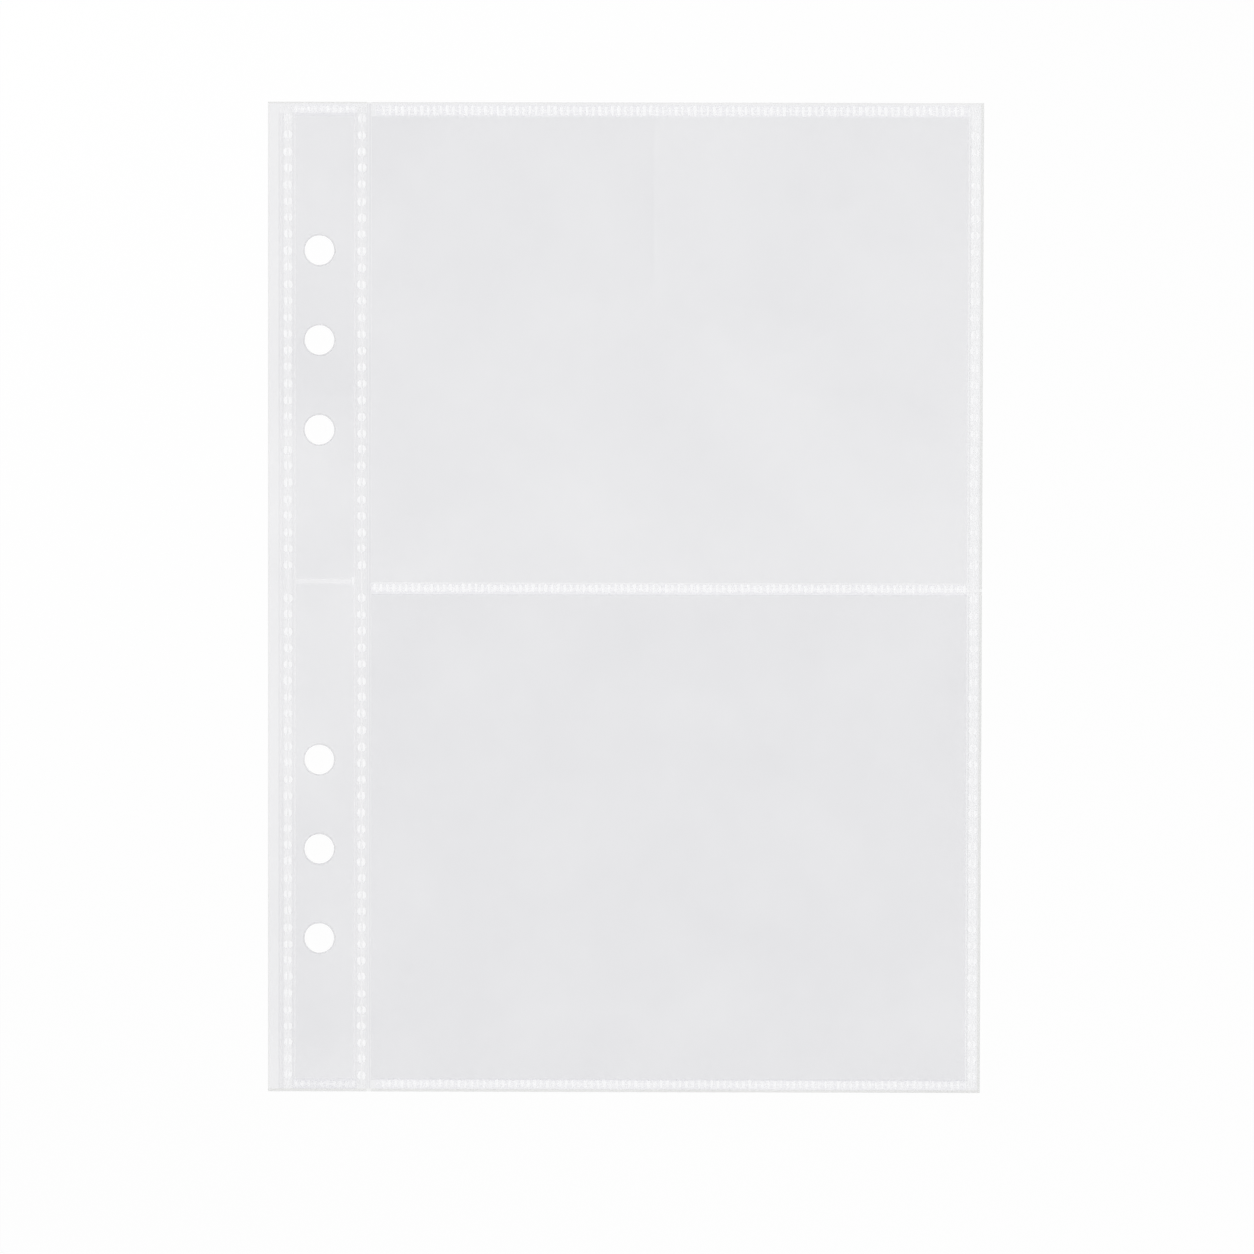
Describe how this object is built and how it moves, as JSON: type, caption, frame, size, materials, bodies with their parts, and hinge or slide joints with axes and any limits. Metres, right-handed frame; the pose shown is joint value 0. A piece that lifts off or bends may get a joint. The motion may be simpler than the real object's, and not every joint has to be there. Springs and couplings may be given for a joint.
{
  "type": "album page",
  "caption": "Clear film album page with punched binding strip and two side-opening photo pockets, joined by dotted weld seams and folding along the spine.",
  "frame": {"origin": "centre of the page's outline, on the surface that its back film lies on", "axes": "+X from the binding edge to the outer edge, +Y from the bottom of the page to its top, +Z out of the front film"},
  "size_m": [0.1516, 0.21, 0.0006],
  "materials": {
    "film": "clear, faintly hazy polypropylene film with a smooth satin gloss",
    "weld": "whitened polypropylene where the two films are fused by a toothed sealing bar"
  },
  "bodies": {
    "binding_strip": {"strip_back_film": "film", "strip_front_film": "film", "left_edge_seam": "weld", "spine_seam": "weld", "strip_top_seam": "weld", "strip_bottom_seam": "weld"},
    "pocket_panel": {"panel_back_film": "film", "upper_pocket_film": "film", "lower_pocket_film": "film", "outer_edge_seam": "weld", "top_seam": "weld", "middle_seam": "weld", "bottom_seam": "weld"}
  },
  "joints": [
    {"name": "page_fold", "type": "hinge", "parent": "binding_strip", "child": "pocket_panel", "pos_m": [-0.05445, 0, 0.00006], "axis": [0, -1, 0], "range_deg": [-90, 90], "stiffness_Nm_per_rad": 0.004}
  ]
}
